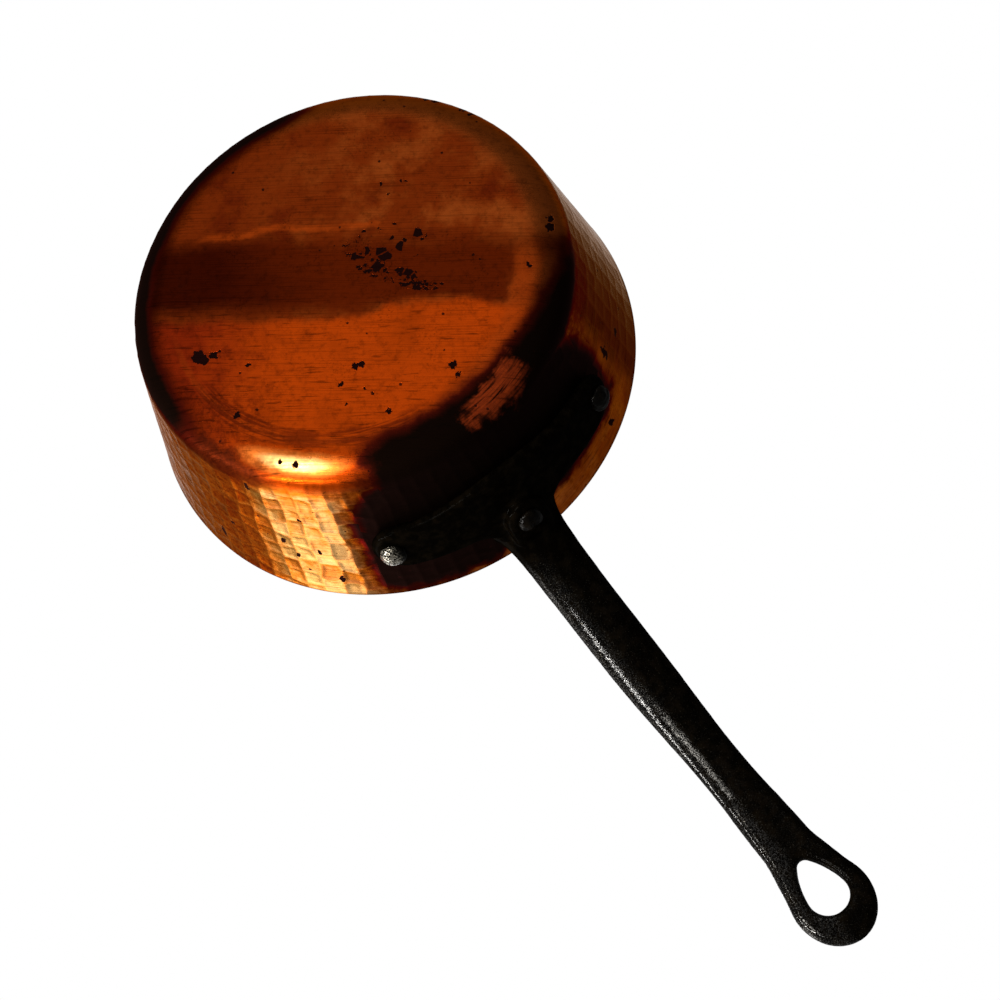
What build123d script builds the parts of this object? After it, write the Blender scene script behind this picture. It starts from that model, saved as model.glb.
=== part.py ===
from build123d import *
from math import acos, atan, cos, degrees, radians, sin, sqrt, tan
import os

# A round copper pan with a flared wall, carried by one cast iron handle on three rivets.
# Millimetres and degrees. The base rests on z = 0, centred on the origin, and the handle runs along +X.

# Pan body: one copper sheet
rim_radius = 100.0
pan_height = 74.4
wall_lean = 11.6
sheet_thickness = 2.0
crown_radius = 30.0
crown_turn = 25.0
corner_radius = 8.0
rim_edge_radius = 0.7

# Shaft of the handle: it rises off the bracket and has levelled out at its neck, its root's drop is below the rim
handle_length = 200.0
root_drop = 12.0
root_rise = 34.0
end_rise = -2.0
root_width = 22.8
root_thickness = 12.4
neck_width = 18.6
neck_thickness = 8.6
neck_to_end = 80.0

# Bracket: a curved plate with two wings, below the shaft's root
bracket_thickness = 5.5
bracket_edge_radius = 2.6
wing_drop = 22.2
wing_width = 22.4
wing_azimuth = 27.5
lobe_drop = 5.5
hump_margin = 0.6
hump_rise = 7.1
hump_corner_radius = 6.0
hump_fillet_radius = 10.0

# Flare where the bracket swells into the shaft
flare_drop = 4.9
flare_length = 16.0
flare_width_radius = 9.0
flare_thickness_radius = 6.5

# Flat plate and ring at the handle's end, with the teardrop hole
ring_thickness = 6.8
ring_width = 30.6
ring_reach = 17.6
ring_edge_radius = 3.0
plate_length = 70.0
plate_inset = 0.7
hole_end_wall = 12.2
hole_length = 23.8
hole_width = 15.4
hole_point_radius = 2.7
hole_side_radius = 32.0
hole_edge_radius = 2.0

# Rivets, and the boss under the middle one
rivet_azimuth = 29.5
side_rivet_lift = 0.8
centre_rivet_drop = 12.7
boss_radius = 8.8
boss_height = 10.0
boss_lift = 9.0
boss_edge_radius = 2.2
shank_diameter = 6.0
shank_clearance = 0.05
outer_head_diameter = 10.4
outer_head_height = 3.9
inner_head_diameter = 11.0
inner_head_height = 1.6

# How far cuts and blanks run past what they meet
overrun = 4.0

# Heights of the shaft's root and of the wings' middle line, and the places of the neck and of the plate's start
root_height = pan_height - root_drop
wing_height = root_height - wing_drop
neck_place = handle_length - neck_to_end
plate_place = handle_length - plate_length

# A rounded edge takes at most this share of the thickness that carries it, or of the side it lies on
edge_limit_share = 0.46
hump_fillet_limit_share = 0.6
hump_corner_limit_share = 0.38
# Places along the flare, from the wall to the shaft
flare_place_shares = [0.0, 0.3, 0.62, 1.0]
# Places along the shaft between its flare and its neck, and how far its size has gone from one to the other
taper_place_shares = [0.28, 0.5, 0.76, 1.0]
taper_gone_shares = [0.12, 0.2, 0.66, 1.0]
# Past the neck the shaft sinks into the plate: place between them, share of the neck's width and ring's thickness
sink_place_shares = [0.55, 1.0]
sink_width_shares = [1.08, 1.1]
sink_thickness_shares = [1.1, 0.9]
# Side of the plate between its start and the ring: place, and how far its half width has gone
side_place_shares = [0.39, 0.63, 0.76, 0.88]
side_gone_shares = [0.19, 0.36, 0.57, 0.76]
# Where the ring's ellipse takes over from the plate's sides, as a share of its reach behind its centre
ring_join_share = 0.34


def wall_radius(height, offset=0.0):
    """Radius at a height of the cone that lies an offset outside the wall's outer face."""
    lean = radians(wall_lean)
    return rim_radius - (pan_height - height) * tan(lean) + offset / cos(lean)


def wall_plane(azimuth, height, offset=0.0):
    """Plane on the outer wall: x sideways, y up the slope, z square out of the wall."""
    lean = radians(wall_lean)
    turn = radians(azimuth)
    out = Vector(cos(turn) * cos(lean), sin(turn) * cos(lean), -sin(lean))
    side = Vector(-sin(turn), cos(turn), 0)
    foot = Vector(wall_radius(height) * cos(turn), wall_radius(height) * sin(turn), height)
    return Plane(foot + out * offset, x_dir=side, z_dir=out)


def wall_cone(offset):
    """Solid inside the cone that lies an offset outside the wall, past the pan's height both ways."""
    low = -overrun
    high = pan_height + overrun
    cone = Cone(wall_radius(low, offset), wall_radius(high, offset), high - low)
    return Pos(0, 0, (low + high) / 2) * cone


def pan_profile():
    """Half section of the sheet: flat base, crown, corner, leaning wall and plain rim."""
    lean = radians(wall_lean)
    turn = radians(crown_turn)
    corner_turn = 90 - wall_lean - crown_turn
    rise = crown_radius * (1 - cos(turn)) + corner_radius * (cos(turn) - sin(lean))
    run = crown_radius * sin(turn) + corner_radius * (cos(lean) - sin(turn))
    flat_radius = wall_radius(rise) - run
    edges = []
    rims = []
    for inset in (0, sheet_thickness):
        crown = JernArc((flat_radius, inset), (1, 0), crown_radius - inset, crown_turn)
        corner = JernArc(crown @ 1, crown % 1, corner_radius - inset, corner_turn)
        rims.append((wall_radius(pan_height, -inset), pan_height))
        edges += [Line((0, inset), (flat_radius, inset)), crown, corner, Line(corner @ 1, rims[-1])]
    edges += [Line((0, 0), (0, sheet_thickness)), Line(*rims)]
    return make_face(edges)


def rivet_places():
    """Name, azimuth, height and seat of each rivet; the seat is its outer head's distance from the wall."""
    side_height = wing_height + side_rivet_lift
    return [
        ("rivet_left", rivet_azimuth, side_height, bracket_thickness),
        ("rivet_centre", 0, root_height - centre_rivet_drop, boss_height),
        ("rivet_right", -rivet_azimuth, side_height, bracket_thickness),
    ]


def rivet_holes():
    """Round cuts through the sheet and the casting at every rivet."""
    hole = Cylinder(shank_diameter / 2 + shank_clearance, 2 * (boss_height + overrun))
    return [wall_plane(azimuth, height) * hole for _, azimuth, height, _ in rivet_places()]


def make_pan_body():
    """The raised copper body, its rim edges rounded, drilled for the rivets."""
    body = revolve(Plane.XZ * pan_profile(), Axis.Z)
    rim_edges = body.edges().filter_by(GeomType.CIRCLE).group_by(Axis.Z)[-1]
    body = fillet(rim_edges, min(rim_edge_radius, edge_limit_share * sheet_thickness))
    return body - rivet_holes()


def bracket_outline():
    """Front view of the bracket: round wing tips, a lobe below, and a hump that carries the shaft above."""
    tip_radius = wing_width / 2
    reach = wall_radius(wing_height) * sin(radians(wing_azimuth))
    low = wing_height - tip_radius
    high = wing_height + tip_radius
    top = root_height + hump_rise
    side = root_width / 2 + hump_margin
    below = Spline((0, low - lobe_drop), (reach, low), tangents=[(1, 0), (1, 0)])
    tip = ThreePointArc((reach, low), (reach + tip_radius, wing_height), (reach, high))
    above = FilletPolyline(
        (reach, high), (side, high), (side, top), (0, top),
        radius=[
            min(hump_fillet_radius, hump_fillet_limit_share * (top - high)),
            min(hump_corner_radius, hump_corner_limit_share * (top - high)),
        ],
    )
    half = Curve() + [below, tip] + above.edges()
    return make_face(half.edges() + mirror(half, Plane.YZ).edges())


def make_bracket():
    """The curved plate that lies on the wall, its outer edges rounded."""
    shell = wall_cone(bracket_thickness) - wall_cone(0)
    front = extrude(Plane.YZ * bracket_outline(), rim_radius + bracket_thickness + overrun)
    plate = front & shell
    far = plate.faces().sort_by(lambda face: face.center().length)[-1]
    return fillet(far.outer_wire().edges(), min(bracket_edge_radius, edge_limit_share * bracket_thickness))


def make_boss():
    """The thicker seat of the middle rivet, drawn up into the underside of the shaft."""
    outline = Pos(0, boss_lift / 2) * SlotCenterToCenter(boss_lift, 2 * boss_radius, rotation=90)
    boss = extrude(outline, boss_height + overrun)
    boss = fillet(boss.edges().group_by(Axis.Z)[-1], boss_edge_radius)
    return wall_plane(0, root_height - centre_rivet_drop, -overrun) * boss


def shaft_plane(place):
    """Plane square to the shaft's centre line: x sideways, y up, z along the shaft, place from its root."""
    first = radians(root_rise)
    last = radians(end_rise)
    bend = neck_place / (first - last)
    along = min(place, neck_place)
    angle = first - along / bend
    x = rim_radius + bend * (sin(first) - sin(angle)) + (place - along) * cos(last)
    z = root_height + bend * (cos(angle) - cos(first)) + (place - along) * sin(last)
    return Plane((x, 0, z), x_dir=(0, 1, 0), z_dir=(cos(angle), 0, sin(angle)))


def flare_section(share):
    """Oval where the bracket swells into the shaft, from 0 on the wall to 1 at the shaft."""
    start = wall_plane(0, root_height - flare_drop, -overrun).origin
    middle = shaft_plane(0).origin
    end = shaft_plane(flare_length)
    centre = start * (1 - share) ** 2 + middle * (2 * share * (1 - share)) + end.origin * share ** 2
    angle = share * atan(end.z_dir.Z / end.z_dir.X) - (1 - share) * radians(wall_lean)
    swell = 1 - sqrt(1 - (1 - share) ** 2)
    place = Plane(centre, x_dir=(0, 1, 0), z_dir=(cos(angle), 0, sin(angle)))
    return place * Ellipse(
        root_width / 2 + swell * flare_width_radius,
        root_thickness / 2 + swell * flare_thickness_radius,
    )


def shaft_sections():
    """Ovals from the flare's end to where the shaft has sunk into the ring's plate."""
    sections = [flare_section(1)]
    for place_share, gone in zip(taper_place_shares, taper_gone_shares):
        place = flare_length + place_share * (neck_place - flare_length)
        width = root_width + gone * (neck_width - root_width)
        thickness = root_thickness + gone * (neck_thickness - root_thickness)
        sections.append(shaft_plane(place) * Ellipse(width / 2, thickness / 2))
    sunk_place = handle_length - hole_end_wall - hole_length - 2 * hole_edge_radius
    sunk_shares = zip(sink_place_shares, sink_width_shares, sink_thickness_shares)
    for place_share, width_share, thickness_share in sunk_shares:
        place = neck_place + place_share * (sunk_place - neck_place)
        section = Ellipse(width_share * neck_width / 2, thickness_share * ring_thickness / 2)
        sections.append(shaft_plane(place) * section)
    return sections


def ring_outline():
    """Top view of the plate and ring, x along the shaft from the plate's start."""
    centre = plate_length - ring_reach
    join = centre - ring_join_share * ring_reach
    join_width = ring_width / 2 * sqrt(1 - ring_join_share ** 2)
    join_slope = ring_join_share * join_width / (ring_reach * (1 - ring_join_share ** 2))
    start_width = neck_width / 2 - plate_inset
    points = [(0, start_width)]
    for place_share, gone in zip(side_place_shares, side_gone_shares):
        points.append((place_share * join, start_width + gone * (join_width - start_width)))
    points.append((join, join_width))
    side = Spline(points, tangents=[(1, 0), (1, join_slope)])
    join_angle = degrees(acos(-ring_join_share))
    round_end = EllipticalCenterArc((centre, 0), ring_reach, ring_width / 2, arc_size=join_angle)
    half = Curve() + [Line((0, 0), points[0]), side, round_end]
    return make_face(half.edges() + mirror(half, Plane.XZ).edges())


def teardrop():
    """Top view of the hanging hole: round end, bulged sides and a blunt point towards the pan."""
    wide_radius = hole_width / 2
    wide = Vector(plate_length - hole_end_wall - wide_radius, 0)
    spacing = hole_length - wide_radius - hole_point_radius
    point = wide - Vector(spacing, 0)
    from_wide = hole_side_radius - wide_radius
    from_point = hole_side_radius - hole_point_radius
    along = (from_point ** 2 - from_wide ** 2 - spacing ** 2) / (2 * spacing)
    side = wide + Vector(along, -sqrt(from_wide ** 2 - along ** 2))
    wide_join = side + (wide - side).normalized() * hole_side_radius
    point_join = side + (point - side).normalized() * hole_side_radius
    bulge = (wide_join + point_join) / 2 - side
    half = Curve() + [
        TangentArc(wide + Vector(wide_radius, 0), wide_join, tangent=(0, 1)),
        ThreePointArc(wide_join, side + bulge.normalized() * hole_side_radius, point_join),
        TangentArc(point - Vector(hole_point_radius, 0), point_join, tangent=(0, 1)),
    ]
    return make_face(half.edges() + mirror(half, Plane.XZ).edges())


def make_ring():
    """The flat plate at the handle's end, with its hole and soft edges."""
    plate = extrude(ring_outline(), ring_thickness / 2, both=True)
    outer_edges = plate.edges().filter_by(Axis.Z, reverse=True)
    plate = fillet(outer_edges, min(ring_edge_radius, edge_limit_share * ring_thickness))
    plate = plate - extrude(teardrop(), ring_thickness, both=True)
    flats = plate.faces().filter_by(Axis.Z).sort_by(SortBy.AREA)[-2:]
    hole_edges = [edge for flat in flats for edge in flat.inner_wires()[0].edges()]
    plate = fillet(hole_edges, min(hole_edge_radius, edge_limit_share * ring_thickness))
    upright = shaft_plane(plate_place)
    return Plane(upright.origin, x_dir=upright.z_dir, z_dir=upright.y_dir) * plate


def make_handle():
    """The iron casting: bracket, boss, flare, shaft and ring in one piece, drilled for the rivets."""
    flare = loft([flare_section(share) for share in flare_place_shares])
    shaft = loft(shaft_sections())
    arm = make_boss() + flare + shaft + make_ring()
    return make_bracket() + (arm - wall_cone(0)) - rivet_holes()


def head(diameter, height):
    """Domed rivet head that stands on the plane z = 0."""
    radius = diameter / 2
    ball = (radius ** 2 + height ** 2) / (2 * height)
    half_turn = atan(height / radius)
    middle = (ball * sin(half_turn), height - ball + ball * cos(half_turn))
    edges = [
        Line((0, 0), (radius, 0)),
        ThreePointArc((radius, 0), middle, (0, height)),
        Line((0, height), (0, 0)),
    ]
    return revolve(Plane.XZ * make_face(edges), Axis.Z)


def make_rivet(azimuth, height, seat):
    """Shank through the sheet and the casting, domed head outside, flattened head on the curved inside."""
    place = wall_plane(azimuth, height)
    inner_seat = Pos(0, 0, -sheet_thickness)
    length = sheet_thickness + inner_head_height / 2 + seat + outer_head_height / 2
    shank = Cylinder(shank_diameter / 2, length, align=(Align.CENTER, Align.CENTER, Align.MIN))
    shank = inner_seat * Pos(0, 0, -inner_head_height / 2) * shank
    outer = Pos(0, 0, seat) * head(outer_head_diameter, outer_head_height)
    inner = inner_seat * Rot(180, 0, 0) * head(inner_head_diameter, inner_head_height)
    return place * (shank + outer) + (place * inner & wall_cone(-sheet_thickness))


parts = {"pan_body": make_pan_body(), "handle": make_handle()}
for name, azimuth, height, seat in rivet_places():
    parts[name] = make_rivet(azimuth, height, seat)

os.makedirs("parts", exist_ok=True)
for name, part in parts.items():
    export_step(part, f"parts/{name}.step")
    print(name, "solids", len(part.solids()), "volume", round(part.volume))
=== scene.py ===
from math import cos, degrees, pi, radians, sin, tan

import bmesh
import bpy
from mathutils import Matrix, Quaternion, Vector


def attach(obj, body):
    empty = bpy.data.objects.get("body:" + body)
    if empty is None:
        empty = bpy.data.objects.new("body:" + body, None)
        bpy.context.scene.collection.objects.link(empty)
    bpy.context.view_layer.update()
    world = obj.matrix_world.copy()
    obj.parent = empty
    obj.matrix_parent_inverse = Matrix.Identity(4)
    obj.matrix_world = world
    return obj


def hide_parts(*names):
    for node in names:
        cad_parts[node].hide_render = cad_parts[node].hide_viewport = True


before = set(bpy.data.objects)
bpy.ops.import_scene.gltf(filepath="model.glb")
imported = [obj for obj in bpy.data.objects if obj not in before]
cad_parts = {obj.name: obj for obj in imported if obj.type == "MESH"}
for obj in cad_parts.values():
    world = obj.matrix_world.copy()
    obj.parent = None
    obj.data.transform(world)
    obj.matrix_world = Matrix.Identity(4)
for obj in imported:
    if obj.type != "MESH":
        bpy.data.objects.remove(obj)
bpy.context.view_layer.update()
mm = 0.001

# Camera: below the pan, looking up at its base, with the handle towards the lower right of the picture
view = {
    "eye": (0.44064, 0.07338, -0.65507),
    "aim": (0.0769, 0.00136, 0.07562),
    "turn": 152.6965,  # roll about the line of sight, degrees
    "lens": 75.18,
    "sensor": 36,
}

# Plain studio: a grey room, paler on the side of the tall soft box
# A white opening in it lies above, behind the pan
studio = {
    "below": 0.24, "above": 0.42, "sideGain": 0.16, "sideAzimuth": 100,
    "openingFull": 19.2, "openingEnd": 25,  # half angle of the white opening, degrees
    "floorReach": 4.0, "floorDrop": 0.0004, "floorSides": 96, "floorOverlap": 0.4,
    "floorTone": (0.8, 0.8, 0.79, 1),
    "mirrorFrom": 0.7, "mirrorTo": 1.0,  # how far out the floor starts to show in the metal, metres
}
softBoxes = {
    # azimuth, distance and height of the middle, size, roll, radiance, colour
    # an upright box faces the pan level, and the others face its middle
    "tall": {
        "azimuth": 76, "distance": 1.15, "rise": 0.75, "size": (0.42, 1.8), "roll": 0,
        "glow": 3.6, "warmth": (1, 0.97, 0.93), "upright": True,
    },
    "besideTall": {
        "azimuth": 78, "distance": 1.3, "rise": 0.75, "size": (1.05, 1.9), "roll": 0,
        "glow": 1.0, "warmth": (1, 0.94, 0.86), "upright": True,
    },
    "line": {
        "azimuth": 85, "distance": 0.96, "rise": -0.47, "size": (1.0, 0.05), "roll": 44,
        "glow": 100.0, "warmth": (1, 0.98, 0.94), "upright": False,
    },
    "low": {
        "azimuth": 95, "distance": 0.58, "rise": -1.16, "size": (0.42, 0.32), "roll": 0,
        "glow": 17.0, "warmth": (1, 0.96, 0.88), "upright": False,
    },
    "under": {
        "azimuth": 190, "distance": 0.8, "rise": -1.16, "size": (1.2, 1.2), "roll": 0,
        "glow": 0.8, "warmth": (1, 0.97, 0.93), "upright": False,
    },
    "over": {
        "azimuth": 150, "distance": 0.5, "rise": 1.6, "size": (0.9, 0.9), "roll": 0,
        "glow": 1.6, "warmth": (1, 1, 1), "upright": False,
    },
}


class Wire:  # a node's output; sums of wires add their Math nodes
    def __init__(self, tree, socket=None):
        self.tree = tree
        self.socket = socket

    # any node: its type, what its sockets get, its settings, and the output wanted
    def make(self, kind, sockets=None, settings=None, out=0):
        node = self.tree.nodes.new(kind)
        for name, value in (settings or {}).items():
            setattr(node, name, value)
        for key, value in (sockets or {}).items():
            if isinstance(value, Wire):
                self.tree.links.new(value.socket, node.inputs[key])
            else:
                node.inputs[key].default_value = value
        return Wire(self.tree, node.outputs[out])

    def sum(self, operation, first, second=0.0, third=0.0):
        sockets = {0: first, 1: second, 2: third}
        return self.make("ShaderNodeMath", sockets, {"operation": operation})

    def __add__(self, other):
        return self.sum("ADD", self, other)

    def __sub__(self, other):
        return self.sum("SUBTRACT", self, other)

    def __rsub__(self, other):
        return self.sum("SUBTRACT", other, self)

    def __mul__(self, other):
        return self.sum("MULTIPLY", self, other)

    def __truediv__(self, other):
        return self.sum("DIVIDE", self, other)

    def __rtruediv__(self, other):
        return self.sum("DIVIDE", other, self)

    __radd__ = __add__
    __rmul__ = __mul__


def tone(red, green, blue):  # a screen colour, 0 to 255, as a linear one
    def linear(value):
        value = value / 255
        return value / 12.92 if value <= 0.04045 else ((value + 0.055) / 1.055) ** 2.4
    return (linear(red), linear(green), linear(blue), 1)


def smooth(value, low, high):  # 0 at low, 1 at high, eased between
    sockets = {"Value": value, "From Min": low, "From Max": high}
    return value.make("ShaderNodeMapRange", sockets, {"interpolation_type": "SMOOTHSTEP"})


def within(value, low, high, edge):  # 1 between low and high, eased off over edge outside
    return smooth(value, low - edge, low) * (1 - smooth(value, high, high + edge))


def noise(vector, scale, detail=3.0, roughness=0.5, distortion=0.0):
    sockets = {
        "Vector": vector, "Scale": scale, "Detail": detail, "Roughness": roughness, "Distortion": distortion,
    }
    return vector.make("ShaderNodeTexNoise", sockets)


def vector(x, y, z):
    return x.make("ShaderNodeCombineXYZ", {0: x, 1: y, 2: z})


def vectorMath(operation, first, second, out=0):
    return first.make("ShaderNodeVectorMath", {0: first, 1: second}, {"operation": operation}, out=out)


def scaled(place, factor):
    return place.make("ShaderNodeVectorMath", {0: place, "Scale": factor}, {"operation": "SCALE"})


def mixColour(factor, first, second):
    settings = {"data_type": "RGBA", "clamp_factor": True}
    return factor.make("ShaderNodeMix", {0: factor, 6: first, 7: second}, settings, out=2)


def mixValue(factor, first, second):
    return factor.make("ShaderNodeMix", {0: factor, 2: first, 3: second}, {"data_type": "FLOAT"})


def darken(colour, amount):  # multiplies a colour by 1 - amount
    light = 1 - amount
    grey = vector(light, light, light)
    settings = {"data_type": "RGBA", "blend_type": "MULTIPLY"}
    return colour.make("ShaderNodeMix", {0: 1.0, 6: colour, 7: grey}, settings, out=2)


def newMaterial(name):
    material = bpy.data.materials.new(name)
    material.use_nodes = True
    material.node_tree.nodes.clear()
    return material, Wire(material.node_tree)


def finish(wire, shader):  # the last node of a material
    node = wire.tree.nodes.new("ShaderNodeOutputMaterial")
    wire.tree.links.new(shader.socket, node.inputs["Surface"])


def objectPlace(wire):  # place on the object in millimetres, and its three parts
    place = scaled(wire.make("ShaderNodeTexCoord", out="Object"), 1 / mm)
    parts = [wire.make("ShaderNodeSeparateXYZ", {0: place}, out=axis) for axis in range(3)]
    return (place, *parts)


# Pan body: the sheet's sizes in millimetres
pan = {
    "rimRadius": 100.0, "height": 74.4, "lean": 11.6, "sheet": 2.0,
    "crownRadius": 30.0, "crownTurn": 25.0, "cornerRadius": 8.0, "rimRound": 0.7,
    "segments": 600, "wallStep": 0.95, "insideStep": 4.5, "baseStep": 5.0, "arcStep": 1.3,
}


# Copper outside: patina and painted reflection in bands across the base, painted shade round the corner
# and behind the bracket, spots and hairlines
patina = {
    "bandAzimuth": 41.3,  # the bands cross this direction
    "low": tone(172, 60, 5), "lowRed": tone(122, 32, 6),
    "high": tone(110, 38, 6), "highPale": tone(136, 60, 18),
    "maroon": tone(84, 22, 4), "edgeReflection": tone(166, 80, 30),
    "band": tone(84, 24, 2), "bandDeep": tone(50, 9, 1), "line": tone(150, 56, 10),
    # the two tones on the next line paint a highlight: paler copper where the low lamp's highlight falls on
    # the crown
    "worn": tone(204, 108, 40), "highlightCore": tone(228, 176, 108),
    # the olive tone at the end of the next line paints shade on the wall's dim -y side
    "wall": tone(182, 96, 42), "wallDeep": tone(146, 66, 24), "wallShadeOlive": tone(82, 46, 18),
    # a paler tone that paints the highlight stripe on the wall
    "wallHighlight": tone(178, 138, 90),
    # wallDull is duller patina among the stripe's cells; the border tone paints a glint on the ridges between
    # blows
    "wallDull": tone(164, 98, 54), "border": tone(206, 122, 66),
    "cornerShade": tone(40, 12, 5), "rubbed": tone(216, 84, 36),
    # the first two tones on the next line paint shade: a dark reflection and shadow with a dark red edge; the
    # third is pits
    "shadeFringe": tone(66, 13, 5), "paintedShade": tone(8, 2, 1), "pit": tone(24, 5, 6),
    "glossTint": (0.72, 0.42, 0.24, 1),  # colour of the copper's gloss at its edges
    "flatRadius": 69.3,  # of the base, mm
}
marks = {
    # where the marks lie: across and along the bands and in radius in mm, in azimuth in degrees
    "bandAcross": (-10, 8), "bandFade": 12, "lineAcross": 22.0,
    "highlight": (49, 77.6), "highlightHalf": (19, 5.5),  # azimuth and radius of its middle, and half widths
    "ringRadius": (65.5, 70.5), "ringAzimuth": (18, 80),
    "patchRadius": (78, 80.5), "patchAzimuth": (-15, -8),
    "highlightStripeAzimuth": (43, 56), "shadedSideAzimuth": (-110, -46),
    # where the painted shade lies: round the corner on the handle side and the far side, and behind the
    # bracket
    "paintedShadeAzimuth": (-56, 19), "paintedShadeFade": 19, "blackFrom": 70.2,
    "farShade": 142, "farShadeHalf": (70, 46), "farShadeFrom": 77.5,
    "wingMiddle": -0.5, "wingHalf": 37, "wingHeight": 38, "wingDepth": 36, "wingTop": (60, 72),
}
# Dark spots on the base: place along and across the bands, and size, mm
baseSpots = [
    (-53, 33, 2.9), (-50.5, 35, 2.0), (-47, 32.5, 1.7), (-45, 31, 1.0), (9, 38, 1.6), (11.4, 37, 1.5),
    (4.5, 45.5, 1.2), (46, 38, 1.7), (48.5, 42, 1.3), (14, 47, 0.8), (-34, 57.5, 1.3), (24, 56.5, 1.2),
    (8, 53.5, 0.7), (17, 49, 0.6), (77, -20, 2.2), (22, -81, 1.6), (26, -80.5, 1.8), (37, -76, 1.4),
    (41, -73, 1.2), (-33, 37, 1.1), (77, -24, 1.5), (71, -3, 1.2), (-15, 76, 1.0), (-9, 77.5, 1.2),
]
# Flaked patches on the base: place, half length along and half width across, mm, and the share flaked
flakes = [
    (4, -12, 6.5, 6, 0.42), (13, -3.5, 8, 4.5, 0.4), (31, 4.5, 8.5, 2.6, 1.0),
    (22, 0, 7, 4, 0.5), (14, -12, 24, 13, 0.06), (12, -42, 9, 8, 0.07),
]
# Dark spots on the wall: azimuth in degrees, height, half width and half height, mm
wallSpots = [
    (45, 63, 1.0, 2.6), (77, 60, 1.2, 3.2), (72, 46, 1.1, 1.4), (57, 43, 1.4, 1.4), (48, 46, 0.7, 2.0),
    (50, 26, 0.9, 0.9), (54, 51, 0.8, 1.6), (62, 11, 0.9, 3.0), (53, 3.5, 0.8, 2.6), (-42, 44, 2.0, 3.6),
    (-50, 52, 1.5, 2.0), (-31, 66, 1.6, 2.0), (118, 40, 1.6, 1.6), (-120, 30, 1.4, 2.4), (160, 55, 1.5, 1.5),
    (-160, 18, 1.2, 2.0), (-88, 60, 1.0, 1.8), (99, 20, 1.1, 2.2),
]
# Hammer blows on the wall, in columns: sizes in millimetres, turns in degrees
blows = {
    "Columns": 80, "Low": 3.0, "Row Height": 8.4, "Wave": 0.9,
    "Blow Depth": 0.17, "Tilt Depth": 0.09, "Border": 0.22, "Wear Depth": 0.2, "Seed": 7,
}
# How the light sees each blow: tilt in radians, roundness taken out, where blows begin, where they are worn
facet = {
    "tilt": 0.085, "flatten": 0.7, "lowest": 8, "fullFrom": 13, "worn": (-130, -38), "wornOff": 15,
}
# How deep the blows go: the height they start from and grow over, the rim's share, the share where worn
beating = {
    "from": 3, "over": 7, "rimOver": 3, "rimShare": 0.25, "wornShare": 0.45, "insideWear": 0.35,
}


def panPlace(wire):  # where a point lies on the pan, each part in millimetres or degrees
    place, x, y, z = objectPlace(wire)
    turn = radians(patina["bandAzimuth"])
    return {
        "place": place, "z": z,
        "along": x * sin(turn) - y * cos(turn),
        "across": x * cos(turn) + y * sin(turn),
        "radius": wire.sum("SQRT", x * x + y * y),
        "azimuth": wire.sum("ARCTAN2", y, x) * degrees(1),
    }


def stretched(first, second, third, firstScale, secondScale, detail=2.0):  # noise in strokes
    return noise(vector(first * firstScale, second * secondScale, third), 1.0, detail, 0.5)


# the blow that a point lies in: where in it across and up, and its three chances
def hammerCell(wire, place, azimuth, z, columns, low, rowHeight, wave, seed):
    bend = noise(place, 0.045, 1, 0.5) - 0.5
    sideways = azimuth * columns / 360 + bend * wave
    column = wire.sum("FLOOR", sideways)
    ownColumn = wire.sum("FLOORED_MODULO", column, columns)
    chance = wire.make("ShaderNodeTexWhiteNoise", {"W": ownColumn + seed}, {"noise_dimensions": "1D"})
    upwards = (z - low) / rowHeight + chance + (noise(place, 0.09, 0, 0.5) - 0.5) * wave
    row = wire.sum("FLOOR", upwards)
    own = {"Vector": vector(ownColumn, row, seed)}
    chances = wire.make("ShaderNodeTexWhiteNoise", own, {"noise_dimensions": "3D"}, out="Color")
    parts = [wire.make("ShaderNodeSeparateXYZ", {0: chances}, out=axis) for axis in range(3)]
    return sideways - column - 0.5, upwards - row - 0.5, parts


# The base's tones are patina and painted reflection: the halves either side of the band, the dark band itself
# (a painted dark reflection), the thin lighter lines, the paler crown edge and the shine towards the handle
def baseTone(at, slow, medium):
    along, across, radius = at["along"], at["across"], at["radius"]
    wobble = across + slow * 12 + medium * 6
    rightSide = smooth(along, 34, 60)
    cloud = noise(at["place"], 0.042, 6, 0.62)
    high = mixColour(smooth(cloud, 0.42, 0.62) * smooth(along, -50, 10), patina["high"], patina["highPale"])
    high = mixColour(smooth(noise(at["place"], 0.03, 5, 0.6), 0.5, 0.64) * 0.8, high, patina["maroon"])
    pale = smooth(radius, 70, 80) * within(at["azimuth"], -155, -68, 22) * 0.9
    high = mixColour(pale, high, patina["edgeReflection"])
    low = mixColour(smooth(along * -1 + medium * 30, 12, 62), patina["low"], patina["lowRed"])
    low = darken(low, smooth(cloud, 0.44, 0.7) * 0.22)
    edge = 18.5 - smooth(along, -15, 45) * 8.5 + smooth(along, 44, 60) * 4
    colour = mixColour(smooth(wobble - edge, -3, 3), high, low)
    cut = smooth(radius + medium * 12, 60, 72) * rightSide * smooth(across, -20, 4)
    band = within(wobble, *marks["bandAcross"], marks["bandFade"])
    band = band * (1 - smooth(wobble - edge, -3.5, 2.5)) * (1 - cut)
    bandColour = mixColour(smooth(along + slow * 60, -52, -2), patina["bandDeep"], patina["band"])
    colour = mixColour(band, colour, bandColour)
    lineBow = across + marks["lineAcross"] - smooth(along * -1, 18, 60) * 4.5 + slow * 10 + medium * 6
    line = within(lineBow, -0.4, 0.4, 2.0) * within(along + medium * 30, -48, 8, 18)
    line = line * smooth(cloud, 0.3, 0.55)
    colour = mixColour(line * 0.75, colour, patina["line"])
    shine = within(radius + medium * 8, 67.5, 74, 4) * rightSide * within(across, -2, 45, 14)
    colour = mixColour(shine * 0.6, colour, patina["line"])
    crownLine = within(radius + medium * 3, 67.8, 69.2, 1.2) * smooth(across, 20, 40)
    return mixColour(crownLine * 0.3, colour, patina["line"])


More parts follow.
